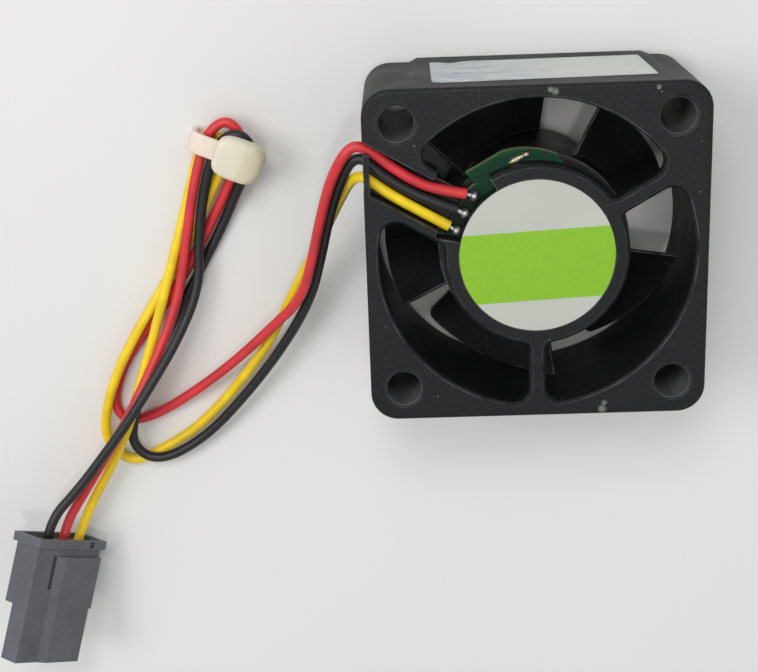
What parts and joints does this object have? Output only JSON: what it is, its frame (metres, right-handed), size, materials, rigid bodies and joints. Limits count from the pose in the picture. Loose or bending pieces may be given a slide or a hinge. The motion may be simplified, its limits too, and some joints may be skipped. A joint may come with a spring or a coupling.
{
  "type": "dc cooling fan",
  "caption": "Square black axial dc cooling fan with a strutted motor base, a round label, a side sticker, and tied red, yellow and black leads ending in a small black plug.",
  "frame": {"origin": "on the rotor axis, in the plane of the inlet face that lies on the floor", "axes": "+Z along the rotor axis from the inlet face to the label face, +Y towards the wall with the sticker, +X towards the wall opposite the wire exit"},
  "size_m": [0.0902, 0.0787, 0.02],
  "materials": {
    "frame_plastic": "fine-grained black moulding",
    "impeller_plastic": "smooth black moulding",
    "label_paper": "satin label with a lime-green band",
    "sticker_paper": "silvery white paper, slightly crinkled",
    "yoke_steel": "plated drawn steel",
    "magnet_ferrite": "dark bonded ferrite",
    "bright_steel": "ground steel",
    "turned_brass": "turned brass",
    "stack_steel": "silicon steel sheet",
    "bobbin_nylon": "natural nylon",
    "winding_copper": "enamelled copper wire",
    "tinned_brass": "tinned",
    "board_laminate": "green solder resist, pale cut edge",
    "chip_resin": "black moulding resin",
    "capacitor_body": "tan ceramic",
    "solder": "bright solder",
    "red_insulation": "soft sheen",
    "black_insulation": "soft sheen",
    "yellow_insulation": "soft sheen",
    "tie_nylon": "natural nylon, slightly translucent",
    "plug_plastic": "black moulding"
  },
  "bodies": {
    "housing": {"frame": "frame_plastic", "hub_label": "label_paper", "side_sticker": "sticker_paper", "lower_bearing_outer_ring": "bright_steel", "upper_bearing_outer_ring": "bright_steel", "bearing_tube": "turned_brass", "stator_laminations": "stack_steel", "upper_insulator": "bobbin_nylon", "lower_insulator": "bobbin_nylon", "stator_coils": "winding_copper", "winding_pins": "tinned_brass", "crimp_terminals": "tinned_brass", "circuit_board": "board_laminate", "hall_sensor": "chip_resin", "driver_chip": "chip_resin", "chip_capacitors": "capacitor_body", "solder_joints": "solder", "red_lead": "red_insulation", "black_lead": "black_insulation", "yellow_lead": "yellow_insulation", "cable_tie": "tie_nylon", "plug_housing": "plug_plastic"},
    "rotor": {"impeller": "impeller_plastic", "rotor_yoke": "yoke_steel", "magnet_ring": "magnet_ferrite", "shaft": "bright_steel", "shaft_bush": "turned_brass", "preload_washer": "bright_steel", "retaining_clip": "bright_steel", "lower_bearing_inner_ring": "bright_steel", "upper_bearing_inner_ring": "bright_steel"},
    "lower_ball_set": {"lower_bearing_balls": "bright_steel", "lower_bearing_cage": "bright_steel"},
    "upper_ball_set": {"upper_bearing_balls": "bright_steel", "upper_bearing_cage": "bright_steel"}
  },
  "joints": [
    {"name": "rotor_spin", "type": "hinge", "parent": "housing", "child": "rotor", "pos_m": [0, 0, 0.01], "axis": [0, 0, 1], "continuous": true},
    {"name": "lower_balls_orbit", "type": "hinge", "parent": "housing", "child": "lower_ball_set", "pos_m": [0, 0, 0.00755], "axis": [0, 0, 1], "continuous": true},
    {"name": "upper_balls_orbit", "type": "hinge", "parent": "housing", "child": "upper_ball_set", "pos_m": [0, 0, 0.01635], "axis": [0, 0, 1], "continuous": true}
  ],
  "couplings": [
    {"joint": "lower_balls_orbit", "follows": "rotor_spin", "ratio": 0.40571},
    {"joint": "upper_balls_orbit", "follows": "rotor_spin", "ratio": 0.40571}
  ]
}
